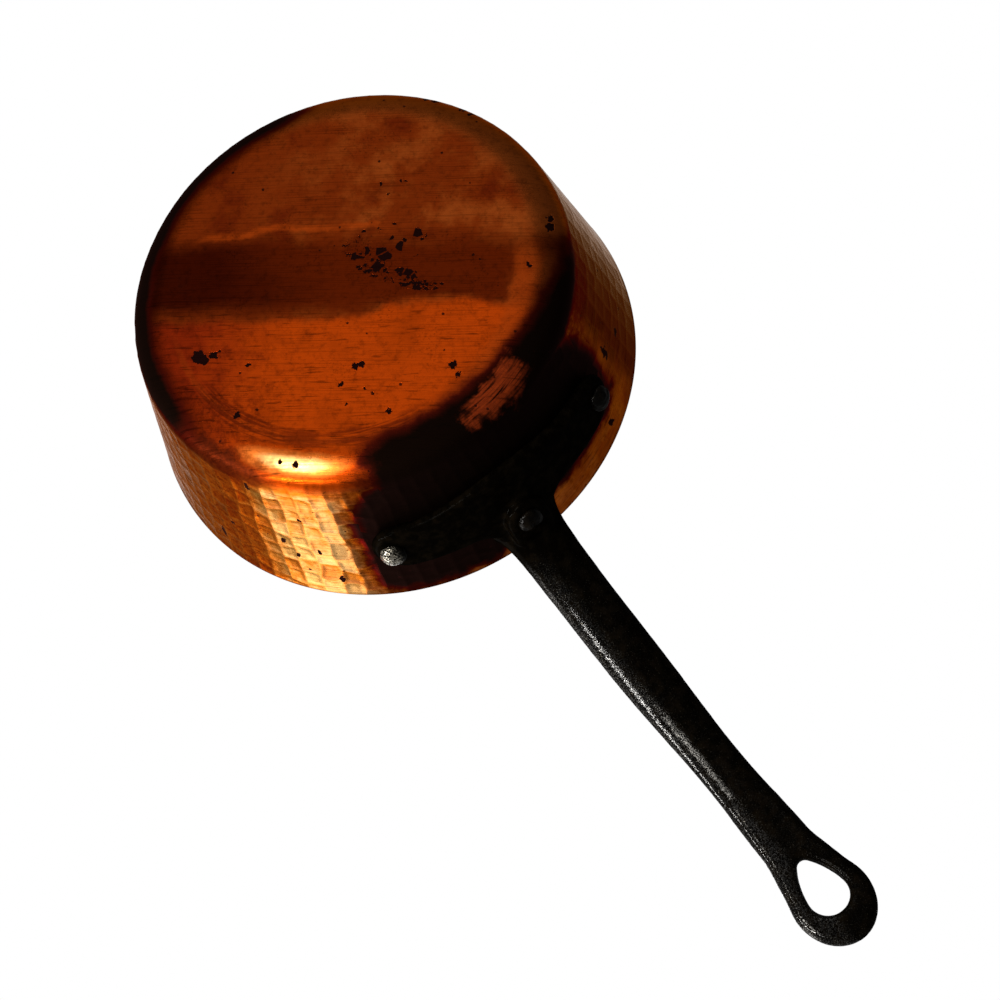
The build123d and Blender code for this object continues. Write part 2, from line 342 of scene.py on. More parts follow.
def wallTone(at, slow, medium, cell):
    azimuth, z = at["azimuth"], at["z"]
    u, v, chances = cell
    patches = noise(at["place"], 0.06, 6, 0.62)
    colour = mixColour(smooth(patches, 0.4, 0.62), patina["wall"], patina["wallDeep"])
    colour = mixColour(chances[2] * 0.4, colour, patina["wallDeep"])
    # Paler copper where the tall lamp's highlight stripe falls on the wall: painted highlight, with duller
    # patina cells among it
    glow = within(azimuth + medium * 8, *marks["highlightStripeAzimuth"], 9) * smooth(z + medium * 10, 8, 14)
    bright = mixColour(smooth(chances[2] + medium * 1.6, 0.2, 0.9), patina["wallHighlight"], patina["wallDull"])
    colour = mixColour(glow, colour, bright)
    # Darker olive tone on the wall's -y side, where its reflection is dim: painted shade
    shadedSide = within(azimuth + slow * 20, *marks["shadedSideAzimuth"], 10)
    colour = mixColour(shadedSide, colour, patina["wallShadeOlive"])
    # Paler ridges between the blows: painted glint, strongest on the side facing the lamps
    inset = u.sum("MINIMUM", 0.5 - u.sum("ABSOLUTE", u), 0.55 - u.sum("ABSOLUTE", v) * 1.1)
    border = (1 - smooth(inset + medium * 0.3, 0.0, 0.12)) * smooth(z, 8, 14)
    return mixColour(border * (within(azimuth, 36, 110, 25) * 0.4 + 0.06), colour, patina["border"])


def paintedShadeMask(at, slow, medium, chance):  # how dark the painted shade is, 0 to 1: dark reflection round the corner, the bracket's shadow behind it
    azimuth, z, radius = at["azimuth"], at["z"], at["radius"]
    wire = azimuth
    ragged = medium * 10 + slow * 6
    handleSide = within(azimuth + medium * 12, *marks["paintedShadeAzimuth"], marks["paintedShadeFade"])
    away = wire.sum("COSINE", (azimuth - marks["farShade"]) * (pi / 180))
    farSide = smooth(away, *[cos(radians(half)) for half in marks["farShadeHalf"]])
    past = wire.sum("MAXIMUM", 2 - azimuth, 0.0)
    start = marks["blackFrom"] + past * past * 0.0035 + past * 0.03
    farRing = smooth(radius - marks["farShadeFrom"] + ragged * 0.3, -4, 5)
    farRing = farSide * farRing * (1 - smooth(z + ragged * 0.25, 4.5, 8.5))
    handleRing = smooth(radius - start + ragged * 0.5, -7.5, 8)
    handleRing = handleSide * handleRing * (1 - smooth(z + ragged * 0.5, 7, 14))
    # the oval behind the bracket on the wall: its painted shadow and reflection
    sideways = wire.sum("ABSOLUTE", azimuth - marks["wingMiddle"]) / marks["wingHalf"]
    below = wire.sum("MAXIMUM", marks["wingHeight"] - z, 0.0) / marks["wingDepth"]
    oval = wire.sum("POWER", sideways, 3.2) + wire.sum("POWER", below, 3.2)
    oval = oval + ragged * 0.03 + (chance - 0.5) * 0.2
    lowTop, highTop = marks["wingTop"]
    top = lowTop + smooth(azimuth, -8, 12) * (highTop - lowTop)
    behind = (1 - smooth(oval, 0.62, 1.42)) * (1 - smooth(z + ragged, top - 8, top + 6))
    behind = behind * smooth(z, 3, 9)
    return wire.sum("MAXIMUM", wire.sum("MAXIMUM", farRing, handleRing), behind)


def listedSpots(at, jitter, onBase):
    wire = at["z"]
    frayed = noise(at["place"], 0.45, 3, 0.6) - 0.5
    along = at["along"] + frayed * 4.5
    across = at["across"] + jitter * 4
    spots = None
    for spotAlong, spotAcross, size in baseSpots:
        da = along - spotAlong
        db = across - spotAcross
        distance = wire.sum("SQRT", da * da + db * db)
        mark = (1 - smooth(distance, size * 0.85, size)) * onBase
        spots = mark if spots is None else wire.sum("MAXIMUM", spots, mark)
    for spotAzimuth, height, width, tall in wallSpots:
        da = (at["azimuth"] - spotAzimuth) * (1.6 / width) + frayed * 1.6
        dh = (at["z"] - height) * (1 / tall)
        distance = wire.sum("SQRT", da * da + dh * dh) + jitter * 3.2
        mark = (1 - smooth(distance, 0.75, 1.0)) * (1 - onBase)
        spots = wire.sum("MAXIMUM", spots, mark)
    return spots


def flakedOff(at, jitter, onBase):  # angular chips, thick in the listed patches
    wire = at["z"]
    share = None
    for flakeAlong, flakeAcross, length, width, amount in flakes:
        da = (at["along"] - flakeAlong) / length
        db = (at["across"] - flakeAcross) / width
        here = (1 - smooth(da * da + db * db + jitter * 1.2, 0.3, 1.1)) * amount
        share = here if share is None else wire.sum("MAXIMUM", share, here)
    chips = None
    for scale, gap in ((0.27, 0.1), (0.7, 0.06)):
        shifted = at["place"] if scale < 0.5 else scaled(at["place"], 1.01)
        chance = wire.make("ShaderNodeTexVoronoi", {"Vector": shifted, "Scale": scale}, out="Color")
        toEdge = {"feature": "DISTANCE_TO_EDGE"}
        edge = wire.make("ShaderNodeTexVoronoi", {"Vector": shifted, "Scale": scale}, toEdge)
        chance = wire.make("ShaderNodeSeparateXYZ", {0: chance})
        chosen = wire.sum("LESS_THAN", chance, share * (0.8 if scale < 0.5 else 0.6))
        chip = chosen * smooth(edge + jitter * 0.15, gap * 0.4, gap)
        chips = chip if chips is None else wire.sum("MAXIMUM", chips, chip)
    return chips * onBase, share


def copperOutside():
    material, wire = newMaterial("copperOutside")
    at = panPlace(wire)
    place, along, across, z = at["place"], at["along"], at["across"], at["z"]
    radius, azimuth = at["radius"], at["azimuth"]
    onBase = 1 - smooth(z, 5.0, 9.0)
    slow = noise(place, 0.028, 3, 0.55) - 0.5
    medium = noise(place, 0.13, 4, 0.6) - 0.5
    fine = noise(place, 0.55, 4, 0.65)
    cellSizes = [blows[label] for label in ("Columns", "Low", "Row Height", "Wave", "Seed")]
    cell = hammerCell(wire, place, azimuth, z, *cellSizes)
    u, chances = cell[0], cell[2]
    colour = mixColour(onBase, wallTone(at, slow, medium, cell), baseTone(at, slow, medium))

    # Painted highlight: paler copper on the crown towards the wall's highlight stripe, where the low lamp's
    # highlight falls, with a painted dark reflection ring inside it
    middle, half = marks["highlight"], marks["highlightHalf"]
    fromMiddle = (azimuth - middle[0]) / half[0]
    fromLine = (radius + medium * 3 - middle[1]) / half[1]
    fromCrown = fromMiddle * fromMiddle + fromLine * fromLine
    colour = mixColour(1 - smooth(fromCrown, 0.2, 1.0), colour, patina["worn"])
    colour = mixColour(1 - smooth(fromCrown, 0.03, 0.42), colour, patina["highlightCore"])
    streaks = stretched(azimuth, radius, 1.0, 0.07, 0.9, 3)
    ring = within(radius + medium * 6, *marks["ringRadius"], 2.5) * within(azimuth, *marks["ringAzimuth"], 16)
    ring = ring * onBase * smooth(streaks, 0.38, 0.56)
    colour = mixColour(ring * 0.6, colour, patina["shadeFringe"])

    # Fine dark fuzz in patches, then painted shade, a dark reflection and shadow, with a dark red fringe
    fuzz = smooth(noise(place, 0.9, 4, 0.7), 0.53, 0.66) * smooth(noise(place, 0.065, 3, 0.5), 0.5, 0.62)
    lowLeft = smooth(along * -1, 8, 45) * smooth(across, 38, 60) * smooth(fine, 0.46, 0.6)
    # beside and wingSide: maroon painted shade on the wall either side of the bracket
    beside = within(azimuth + medium * 16, -62, -36, 7) * (1 - smooth(z + medium * 22, 16, 27))
    beside = beside * (1 - onBase) * smooth(fine, 0.3, 0.55)
    wingSide = within(azimuth + medium * 14, 30, 38, 5) * (1 - onBase) * smooth(fine, 0.34, 0.6)
    colour = darken(colour, fuzz * 0.4)
    # Darker band low on the wall round the +y side: painted shade over the lamps' reflection there
    corner = within(z + medium * 6, 3, 8, 3) * within(azimuth + medium * 14, 60, 130, 10)
    maroonMarks = wire.sum("MAXIMUM", wire.sum("MAXIMUM", lowLeft * 0.6, beside * 0.65), wingSide * 0.55)
    colour = mixColour(maroonMarks, colour, patina["maroon"])
    colour = mixColour(corner * 0.8, colour, patina["cornerShade"])
    mottle = smooth(noise(place, 0.3, 6, 0.72), 0.46, 0.7)
    colour = darken(colour, mottle * (0.22 + onBase * 0.12))
    paintedShade = paintedShadeMask(at, slow, medium, chances[2])
    scrubbed = stretched(azimuth, radius, 4.0, 0.12, 1.3, 3)
    worn = within(radius + medium * 12, *marks["patchRadius"], 5)
    worn = worn * within(azimuth + medium * 20, *marks["patchAzimuth"], 8) * smooth(scrubbed, 0.28, 0.66)
    paintedShade = paintedShade * (1 - worn * 0.95)
    colour = mixColour(smooth(paintedShade, 0.0, 0.5), colour, patina["shadeFringe"])
    colour = mixColour(smooth(paintedShade, 0.3, 0.8), colour, patina["paintedShade"])
    colour = mixColour(worn * 0.85, colour, patina["rubbed"])

    # Pits: listed ones, chips in flaked patches and loose ones
    jitter = noise(place, 0.5, 2, 0.55) - 0.5
    spots = listedSpots(at, jitter, onBase)
    chips, share = flakedOff(at, jitter, onBase)
    near = wire.make("ShaderNodeTexVoronoi", {"Vector": place, "Scale": 0.11, "Randomness": 1.0})
    loose = 1 - smooth(near + jitter * 0.12, 0.045, 0.075)
    pits = wire.sum("MAXIMUM", wire.sum("MAXIMUM", spots, chips), loose * 0.85)
    peppered = smooth(noise(place, 1.1, 3, 0.65), 0.54, 0.62) * smooth(share, 0.05, 0.2) * onBase
    colour = darken(colour, peppered * 0.5)
    colour = mixColour(pits, colour, patina["pit"])

    # Hairlines: along the bands on the base, round the wall; dark dashes on the wall
    baseHairs = stretched(along, across, 3.0, 0.035, 2.6, 3)
    wallHairs = stretched(azimuth, z, 5.0, 0.12, 1.9, 4)
    hairs = mixValue(onBase, wallHairs, baseHairs)
    leftSide = smooth(along * -1, 20, 50)
    strokes = stretched(along, across, 9.0, 0.08, 0.8, 3) + leftSide * 0.04
    strokes = smooth(strokes, 0.6, 0.68) * onBase * smooth(across, -10, 25)
    colour = darken(colour, strokes * 0.5)
    colour = darken(colour, smooth(hairs, 0.5, 0.68) * (0.48 - onBase * 0.16))
    slant = azimuth * 1.6 + z * 0.9
    steep = z - azimuth * 1.1
    dashes = smooth(stretched(slant, steep, 2.0, 0.16, 0.5, 1), 0.735, 0.75) * (1 - onBase)
    colour = mixColour(dashes * 0.85, colour, patina["pit"])
    # Darker just under the rim: painted dark reflection
    rimShade = smooth(z, 72.6, 73.6)
    colour = darken(colour, rimShade * 0.55)

    # Each blow is a flat facet: its own tilt, and the wall's roundness taken out of it
    dull = wire.sum("MAXIMUM", pits, smooth(paintedShade, 0.3, 0.9))
    rough = mixValue(onBase, 0.25, 0.3) + (hairs - 0.5) * 0.24 + (fine - 0.5) * 0.16
    rough = mixValue(dull, rough + corner * 0.2, 0.72)
    metal = mixValue(dull, 0.98, 0.85)
    turn = azimuth * radians(1)
    cosine, sine = wire.sum("COSINE", turn), wire.sum("SINE", turn)
    lean = radians(pan["lean"])
    struck = 1 - within(azimuth, *facet["worn"], facet["wornOff"]) * 0.6
    struck = smooth(z, facet["lowest"], facet["fullFrom"]) * struck
    roundness = 2 * pi / blows["Columns"] * facet["flatten"]
    aside = ((chances[0] - 0.5) * facet["tilt"] - u * roundness) * struck
    above = (chances[1] - 0.5) * facet["tilt"] * struck
    slope = sin(lean) * above
    tilted = vector(cosine * slope - sine * aside, sine * slope + cosine * aside, above * cos(lean))
    normal = vectorMath("ADD", wire.make("ShaderNodeNewGeometry", out="Normal"), tilted)
    normal = wire.make("ShaderNodeVectorMath", {0: normal}, {"operation": "NORMALIZE"})
    height = hairs * 0.3 + fine * 0.35 - pits * 1.0 - strokes * 0.15
    bump = wire.make("ShaderNodeBump", {
        "Strength": 0.6, "Distance": 0.1 * mm, "Height": height, "Normal": normal,
    }, out="Normal")
    shader = wire.make("ShaderNodeBsdfPrincipled", {
        "Base Color": colour, "Roughness": rough, "Metallic": metal, "Normal": bump,
        "Specular IOR Level": 0.3, "Specular Tint": patina["glossTint"],
    })
    finish(wire, shader)
    return material


def copperInside():
    material, wire = newMaterial("copperInside")
    at = panPlace(wire)
    place, z = at["place"], at["z"]
    cloud = noise(place, 0.05, 5, 0.6)
    swirl = stretched(at["azimuth"], at["radius"] + z, 0.0, 0.05, 2.2, 4)
    colour = mixColour(smooth(cloud, 0.3, 0.78), tone(214, 136, 90), tone(192, 110, 66))
    corner = within(z, 2, 12, 8) * smooth(noise(place, 0.1, 4, 0.6), 0.42, 0.66)
    colour = mixColour(corner * 0.6, colour, tone(120, 58, 26))
    colour = darken(colour, smooth(swirl, 0.5, 0.8) * 0.25)
    rough = 0.3 + (swirl - 0.5) * 0.2 + (cloud - 0.5) * 0.08
    bump = wire.make("ShaderNodeBump", {
        "Strength": 0.5, "Distance": 0.05 * mm, "Height": swirl,
    }, out="Normal")
    shader = wire.make("ShaderNodeBsdfPrincipled", {
        "Base Color": colour, "Roughness": rough, "Metallic": 1.0, "Normal": bump,
        "Specular Tint": (0.95, 0.7, 0.55, 1),
    })
    finish(wire, shader)
    return material


def ironSkin(name, look):  # cast iron blackened all over; its gloss is a broken film that glints in grains
    material, wire = newMaterial(name)
    place, *parts = objectPlace(wire)
    lumps = noise(place, 0.25, 4, 0.6)
    grain = noise(place, look["grain"], 3, 0.6)
    sparks = noise(place, look["grain"] * 1.9, 2, 0.6)
    rub = wire.make("ShaderNodeAttribute", None, {"attribute_name": "rub"}, out="Fac")
    clean = smooth(parts[look["axis"]], *look["blackFrom"])
    glintSide = smooth(parts[1], *look["glintSideFrom"])  # the side where the highlight line falls gets more bare flecks and gloss: painted glints, as well as rubbing
    colour = mixColour(smooth(lumps, 0.4, 0.7), tone(3, 2, 1), tone(12, 8, 4))
    bare = smooth(sparks + rub * 0.04, look["bareFrom"], look["bareFrom"] + 0.1)
    bare = bare * clean * (glintSide * 0.8 + 0.2)
    colour = mixColour(bare, colour, look["bareTone"])
    film = smooth(sparks, 0.46, 0.6) * clean * (glintSide * 0.9 + 0.1)
    film = film * look["film"] + look["skin"]
    rough = look["rough"] + (lumps - 0.5) * 0.2 + (grain - 0.5) * 0.2
    height = grain + lumps * 0.8 + sparks * 0.5
    bump = wire.make("ShaderNodeBump", {
        "Strength": 1.0, "Distance": look["bump"] * mm, "Height": height,
    }, out="Normal")
    shader = wire.make("ShaderNodeBsdfPrincipled", {
        "Base Color": colour, "Roughness": rough, "Metallic": bare,
        "Specular IOR Level": 0.0, "Normal": bump,
        "Coat Weight": film, "Coat Roughness": look["coatRough"], "Coat IOR": 1.5, "Coat Normal": bump,
    })
    finish(wire, shader)
    return material


def newTree(name, inputs):  # an empty Geometry Nodes tree with named inputs
    tree = bpy.data.node_groups.new(name, "GeometryNodeTree")
    tree.interface.new_socket("Geometry", in_out="OUTPUT", socket_type="NodeSocketGeometry")
    for label, kind in inputs.items():
        tree.interface.new_socket(label, in_out="INPUT", socket_type="NodeSocket" + kind)
    return tree, Wire(tree)


def given(wire, label):  # one of the tree's own inputs
    return wire.make("NodeGroupInput", out=label)


def endTree(wire, geometry):
    node = wire.tree.nodes.new("NodeGroupOutput")
    wire.tree.links.new(geometry.socket, node.inputs[0])


def runTree(piece, tree, values):  # sets the inputs, evaluates the tree and keeps the plain mesh
    modifier = piece.modifiers.new(tree.name, "NODES")
    modifier.node_group = tree
    for item in tree.interface.items_tree:
        if item.in_out == "INPUT" and item.name in values:
            modifier[item.identifier] = values[item.name]
    return keepMesh(piece)


def keepMesh(piece):  # the evaluated shape becomes the piece's own mesh, and its modifiers go
    bpy.context.view_layer.update()
    shape = piece.evaluated_get(bpy.context.evaluated_depsgraph_get())
    mesh = bpy.data.meshes.new_from_object(shape)
    piece.modifiers.clear()
    piece.data = mesh
    mesh.name = piece.name
    return piece


def newPiece(name, mesh):
    piece = bpy.data.objects.new(name, mesh)
    bpy.context.collection.objects.link(piece)
    return piece


# Pan body: rings of points along the sheet's section
def wallRadius(height, inward=0.0):
    lean = radians(pan["lean"])
    return pan["rimRadius"] - (pan["height"] - height) * tan(lean) - inward / cos(lean)


def arcPoints(centre, radius, start, end, step):  # from one angle to another, both ends included
    count = max(3, round(abs(radians(end - start)) * radius / step))
    angles = [radians(start + (end - start) * i / count) for i in range(count + 1)]
    return [(centre[0] + radius * cos(angle), centre[1] + radius * sin(angle)) for angle in angles]


def linePoints(start, end, step):  # without either end
    length = (Vector(end) - Vector(start)).length
    count = max(2, round(length / step))
    return [tuple(Vector(start).lerp(Vector(end), i / count)) for i in range(1, count)]


# one face of the sheet, from the axis out to the top of the wall
def skinPoints(inward, wallStep, baseStep):
    lean = pan["lean"]
    crownEnd = pan["crownTurn"] - 90
    spacing = pan["crownRadius"] - pan["cornerRadius"]
    turn = radians(pan["crownTurn"])
    rise = pan["crownRadius"] - spacing * cos(turn) - pan["cornerRadius"] * sin(radians(lean))
    run = spacing * sin(turn) + pan["cornerRadius"] * cos(radians(lean))
    flat = wallRadius(rise) - run
    crownRadius = pan["crownRadius"] - inward
    crown = arcPoints((flat, pan["crownRadius"]), crownRadius, -90, crownEnd, pan["arcStep"])
    middle = (flat + spacing * sin(turn), pan["crownRadius"] - spacing * cos(turn))
    corner = arcPoints(middle, pan["cornerRadius"] - inward, crownEnd, -lean, pan["arcStep"])
    top = (wallRadius(pan["height"] - pan["rimRound"], inward), pan["height"] - pan["rimRound"])
    points = linePoints((0, inward), crown[0], baseStep) + crown + corner[1:]
    return points + linePoints(corner[-1], top, wallStep)


def rimPoints():
    height = pan["height"] - pan["rimRound"]
    outer = (wallRadius(height, pan["rimRound"]), height)
    inner = (wallRadius(height, pan["sheet"] - pan["rimRound"]), height)
    points = arcPoints(outer, pan["rimRound"], -pan["lean"], 90, 0.3)
    return points + arcPoints(inner, pan["rimRound"], 90, 180 - pan["lean"], 0.3)


def makePan(outside, inside):
    outer = skinPoints(0, pan["wallStep"], pan["baseStep"])
    rim = rimPoints()
    inner = skinPoints(pan["sheet"], pan["insideStep"], pan["baseStep"])[::-1]
    rings = outer + rim + inner
    insideFrom = len(outer) + len(rim) // 2
    count = pan["segments"]
    turns = [2 * pi * i / count for i in range(count)]
    points = [(r * cos(turn) * mm, r * sin(turn) * mm, z * mm) for r, z in rings for turn in turns]
    first = len(points)
    points += [(0, 0, 0), (0, 0, pan["sheet"] * mm)]
    faces = []
    last = (len(rings) - 1) * count
    for i in range(count):
        j = (i + 1) % count
        faces.append((first, j, i))
        for ring in range(len(rings) - 1):
            low = ring * count
            faces.append((low + i, low + j, low + count + j, low + count + i))
        faces.append((first + 1, last + i, last + j))
    mesh = bpy.data.meshes.new("panBody")
    mesh.from_pydata(points, [], faces)
    piece = newPiece("panBody", mesh)
    blow = mesh.attributes.new("blow", "FLOAT", "POINT")
    wear = mesh.attributes.new("wear", "FLOAT", "POINT")
    insideFace = mesh.attributes.new("inside", "BOOLEAN", "FACE")
    turned = [(360 * i / count + 180) % 360 - 180 for i in range(count)]
    for ring, (r, z) in enumerate(rings):
        outerWall = ring < len(outer)
        rising = (z - beating["from"]) / beating["over"]
        nearRim = (pan["height"] - z) / beating["rimOver"]
        blowWeight = min(max(rising, 0), 1) * min(max(nearRim, beating["rimShare"]), 1) if outerWall else 0
        wearWeight = 1 if outerWall else beating["insideWear"]
        for i in range(count):
            beyond = max(facet["worn"][0] - turned[i], turned[i] - facet["worn"][1], 0) / facet["wornOff"]
            beaten = beating["wornShare"] + (1 - beating["wornShare"]) * min(beyond, 1)
            blow.data[ring * count + i].value = blowWeight * beaten
            wear.data[ring * count + i].value = wearWeight
    wear.data[first].value, wear.data[first + 1].value = 1, beating["insideWear"]
    perSegment = len(rings) + 1
    for i in range(count):
        for k in range(insideFrom, perSegment):
            insideFace.data[i * perSegment + k].value = True
    tree = planishTree()
    runTree(piece, tree, {**blows, "Outside": outside, "Inside": inside})
    return piece


# hammer blows in columns on the wall, each a tilted flat with a raised border, and slow wear
def planishTree():
    tree, wire = newTree("planish", {
        "Mesh": "Geometry", "Columns": "Int", "Low": "Float", "Row Height": "Float", "Wave": "Float",
        "Blow Depth": "Float", "Tilt Depth": "Float", "Border": "Float", "Wear Depth": "Float",
        "Seed": "Int", "Outside": "Material", "Inside": "Material",
    })
    here = wire.make("GeometryNodeInputPosition")
    place = scaled(here, 1 / mm)
    x, y, z = [wire.make("ShaderNodeSeparateXYZ", {0: place}, out=axis) for axis in range(3)]
    azimuth = wire.sum("ARCTAN2", y, x) * degrees(1)
    sizes = [given(wire, label) for label in ("Columns", "Low", "Row Height", "Wave", "Seed")]
    u, v, chances = hammerCell(wire, place, azimuth, z, *sizes)
    border = given(wire, "Border")
    dish = smooth(0.5 - wire.sum("ABSOLUTE", u), 0.0, border)
    dish = dish * smooth(0.5 - wire.sum("ABSOLUTE", v), 0.0, border)
    tilt = (chances[0] - 0.5) * u + (chances[1] - 0.5) * v + 0.5
    depth = dish * (given(wire, "Blow Depth") * (0.7 + chances[2] * 0.5) + given(wire, "Tilt Depth") * tilt)
    storing = {"data_type": "FLOAT"}
    blow = wire.make("GeometryNodeInputNamedAttribute", {"Name": "blow"}, storing)
    wear = wire.make("GeometryNodeInputNamedAttribute", {"Name": "wear"}, storing)
    depth = depth * blow + noise(here, 38.0, 2, 0.5) * given(wire, "Wear Depth") * wear
    inward = scaled(wire.make("GeometryNodeInputNormal"), depth * -mm)
    shape = wire.make("GeometryNodeSetPosition", {0: given(wire, "Mesh"), "Offset": inward})
    shape = wire.make("GeometryNodeSetShadeSmooth", {0: shape})
    shape = wire.make("GeometryNodeRealizeInstances", {0: shape})
    shape = wire.make("GeometryNodeSetMaterial", {0: shape, "Material": given(wire, "Outside")})
    inside = wire.make("GeometryNodeInputNamedAttribute", {"Name": "inside"}, {"data_type": "BOOLEAN"})
    painted = {0: shape, "Selection": inside, "Material": given(wire, "Inside")}
    shape = wire.make("GeometryNodeSetMaterial", painted)
    endTree(wire, shape)
    return tree


# Handle: the casting's skin is remade evenly, softened, and roughened like sand-cast iron
handleIron = {  # black along x, clean from its second place; more flecks on the +y side, where the highlight line falls: painted glints, as well as rubbing; bare metal; gloss
    "axis": 0, "blackFrom": (108, 128), "glintSideFrom": (1, 6), "grain": 1.1,
    "bareFrom": 0.64, "bareTone": tone(84, 80, 70),
    "film": 0.9, "skin": 0.01, "rough": 0.27, "coatRough": 0.13, "bump": 0.04,
}
casting = {
    "voxel": 0.75, "softening": 6, "lumpSize": 5.0, "lumpDepth": 0.16, "grainSize": 1.6, "grainDepth": 0.08,
    "rubSpread": 12, "rubHeight": 0.6,
}


def castTree():
    tree, wire = newTree("castSkin", {
        "Mesh": "Geometry", "Lump Size": "Float", "Lump Depth": "Float",
        "Grain Size": "Float", "Grain Depth": "Float",
        "Rub Spread": "Int", "Rub Height": "Float", "Seed": "Float", "Iron": "Material",
    })
    place = wire.make("GeometryNodeInputPosition")
    blurring = {"Value": place, "Iterations": given(wire, "Rub Spread")}
    blurred = wire.make("GeometryNodeBlurAttribute", blurring, {"data_type": "FLOAT_VECTOR"})
    raised = vectorMath("SUBTRACT", place, blurred)
    normal = wire.make("GeometryNodeInputNormal")
    rise = vectorMath("DOT_PRODUCT", raised, normal, out="Value")
    rubRange = {"Value": rise, "From Min": 0.0, "From Max": given(wire, "Rub Height")}
    rub = wire.make("ShaderNodeMapRange", rubRange)
    start = vector(given(wire, "Seed"), given(wire, "Seed"), given(wire, "Seed"))
    moved = vectorMath("ADD", place, start)
    lumps = noise(moved, 1 / given(wire, "Lump Size"), 2, 0.5)
    grain = noise(moved, 1 / given(wire, "Grain Size"), 2, 0.5)
    depth = lumps * given(wire, "Lump Depth") + grain * given(wire, "Grain Depth")
    inward = scaled(wire.make("GeometryNodeInputNormal"), depth * -1)
    storing = {"data_type": "FLOAT", "domain": "POINT"}
    rubbed = {0: given(wire, "Mesh"), "Name": "rub", "Value": rub}
    shape = wire.make("GeometryNodeStoreNamedAttribute", rubbed, storing)
    shape = wire.make("GeometryNodeSetPosition", {0: shape, "Offset": inward})
    shape = wire.make("GeometryNodeSetShadeSmooth", {0: shape})
    shape = wire.make("GeometryNodeRealizeInstances", {0: shape})
    shape = wire.make("GeometryNodeSetMaterial", {0: shape, "Material": given(wire, "Iron")})
    endTree(wire, shape)
    return tree


def mergedCopy(node, name):  # the CAD node's triangles as one closed skin
    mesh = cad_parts[node].data.copy()
    shape = bmesh.new()
    shape.from_mesh(mesh)
    bmesh.ops.remove_doubles(shape, verts=shape.verts, dist=0.001 * mm)
    shape.to_mesh(mesh)
    shape.free()
    mesh.materials.clear()
    return newPiece(name, mesh)


def makeHandle(iron):
    piece = mergedCopy("handle", "ironHandle")
    remesh = piece.modifiers.new("evenSkin", "REMESH")
    remesh.mode = "VOXEL"
    remesh.voxel_size = casting["voxel"] * mm
    soften = piece.modifiers.new("soften", "SMOOTH")
    soften.factor = 0.5
    soften.iterations = casting["softening"]
    keepMesh(piece)
    return runTree(piece, castTree(), {
        "Lump Size": casting["lumpSize"] * mm, "Lump Depth": casting["lumpDepth"] * mm,
        "Grain Size": casting["grainSize"] * mm, "Grain Depth": casting["grainDepth"] * mm, "Seed": 0.3,
        "Rub Spread": casting["rubSpread"], "Rub Height": casting["rubHeight"] * mm, "Iron": iron,
    })


# Rivets: turned from one profile, the outer dome hammered and worn
# Only the left rivet, on its side facing the lamps beyond y 45.5 to 50 mm, gets bare bright metal and gloss:
# a painted glint, as well as wear; the others stay black
rivetIron = {
    "axis": 1, "blackFrom": (45.5, 50), "glintSideFrom": (45.5, 50), "grain": 0.8,
    "bareFrom": 0.45, "bareTone": tone(160, 154, 140),
    "film": 0.8, "skin": 0.12, "rough": 0.2, "coatRough": 0.13, "bump": 0.11,
}
rivet = {
    "shankRadius": 3.0, "sheet": 2.0, "outerRadius": 5.2, "outerHeight": 3.9,
    "innerRadius": 5.5, "innerHeight": 1.6, "dent": 0.35, "dentSize": 3.0,
    "around": 73, "alongProfile": 81,  # points of the grid that is rolled up
}
rivetPlaces = {
    # name: its CAD node, azimuth, height on the wall, distance of the outer head's seat from the wall
    "rivetLeft": ("rivet_left", 29.5, 41.0, 5.5),
    "rivetCentre": ("rivet_centre", 0.0, 49.7, 10.0),
    "rivetRight": ("rivet_right", -29.5, 41.0, 5.5),
}


